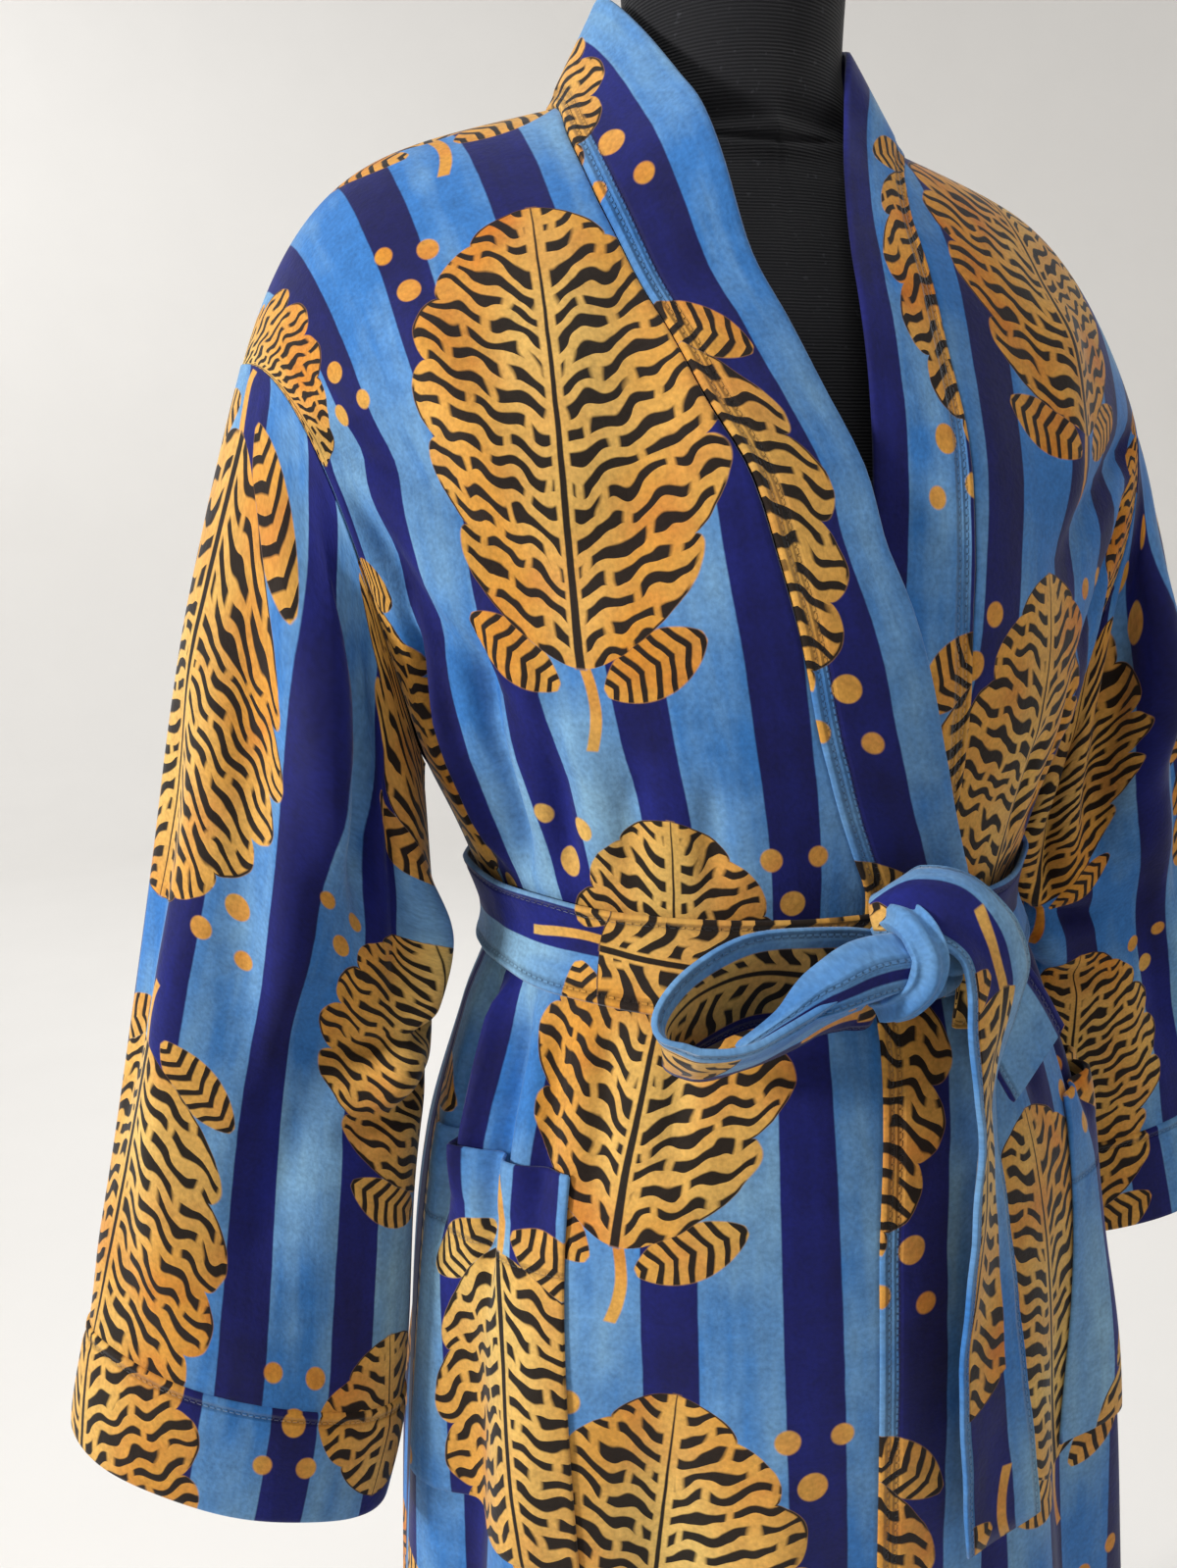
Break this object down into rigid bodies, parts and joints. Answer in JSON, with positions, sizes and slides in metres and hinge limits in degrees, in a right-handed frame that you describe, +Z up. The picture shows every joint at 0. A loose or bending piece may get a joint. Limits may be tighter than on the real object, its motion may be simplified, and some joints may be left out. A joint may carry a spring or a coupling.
{
  "type": "kimono robe on a limbless dress form",
  "caption": "Knee-length wrap robe with wide cuffed sleeves, a long neckband, patch pockets and a tied belt, worn by a dress form on a round-footed stand.",
  "frame": {"origin": "on the floor at the middle of the stand's round foot", "axes": "+Z up, -Y towards the front of the robe, +X to the wearer's left"},
  "size_m": [0.7696, 0.3833, 1.5393],
  "materials": {
    "velvet_blue": "cut pile velvet, light blue stripe",
    "velvet_navy": "cut pile velvet, navy stripe",
    "velvet_gold": "cut pile velvet, gold print",
    "form_cloth": "black ribbed cover cloth",
    "stand_steel": "satin black paint"
  },
  "bodies": {
    "root": {"back": "velvet_blue", "front_right": "velvet_blue", "front_left": "velvet_blue", "neckband_right": "velvet_navy", "neckband_left": "velvet_navy", "sleeve_right": "velvet_blue", "sleeve_left": "velvet_blue", "cuff_right": "velvet_gold", "cuff_left": "velvet_gold", "pocket_right": "velvet_gold", "pocket_left": "velvet_gold", "belt_waist": "velvet_navy", "belt_knot": "velvet_blue", "belt_bow": "velvet_gold", "belt_tail_long": "velvet_navy", "belt_tail_short": "velvet_blue", "form_body": "form_cloth", "form_neck_cap": "form_cloth", "stand_pole": "stand_steel", "stand_foot": "stand_steel"}
  },
  "joints": []
}
